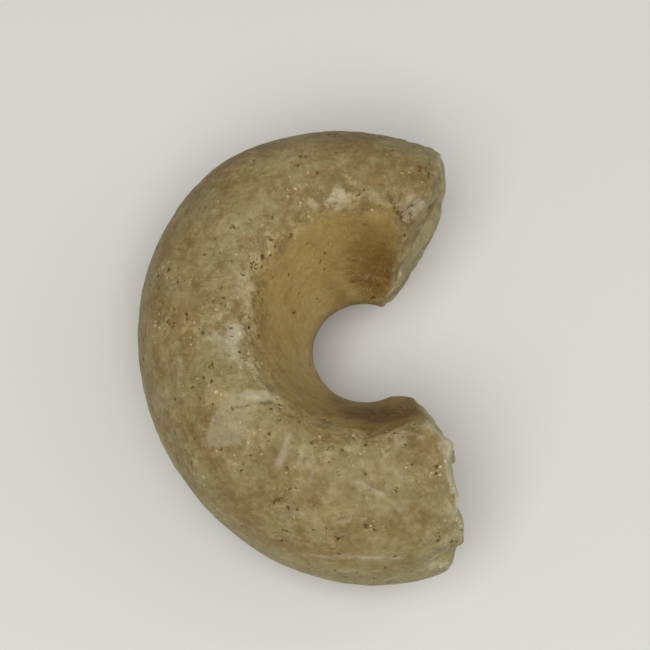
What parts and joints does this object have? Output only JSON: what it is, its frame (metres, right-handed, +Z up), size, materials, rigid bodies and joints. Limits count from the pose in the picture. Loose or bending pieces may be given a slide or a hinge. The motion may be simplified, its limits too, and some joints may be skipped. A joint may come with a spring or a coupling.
{
  "type": "perforated stone",
  "caption": "Part of a thick rounded stone ring with an hourglass bore, broken across both arms and lying on its worn underside.",
  "frame": {"origin": "middle of the bounding box of the outline, on the surface the stone lies on", "axes": "+Z up along the bore, +X out through the gap between the two broken arms, +Y from the south arm to the north arm"},
  "size_m": [0.078, 0.1108, 0.0558],
  "materials": {
    "stone": "matte"
  },
  "bodies": {
    "root": {"stone": "stone"}
  },
  "joints": []
}
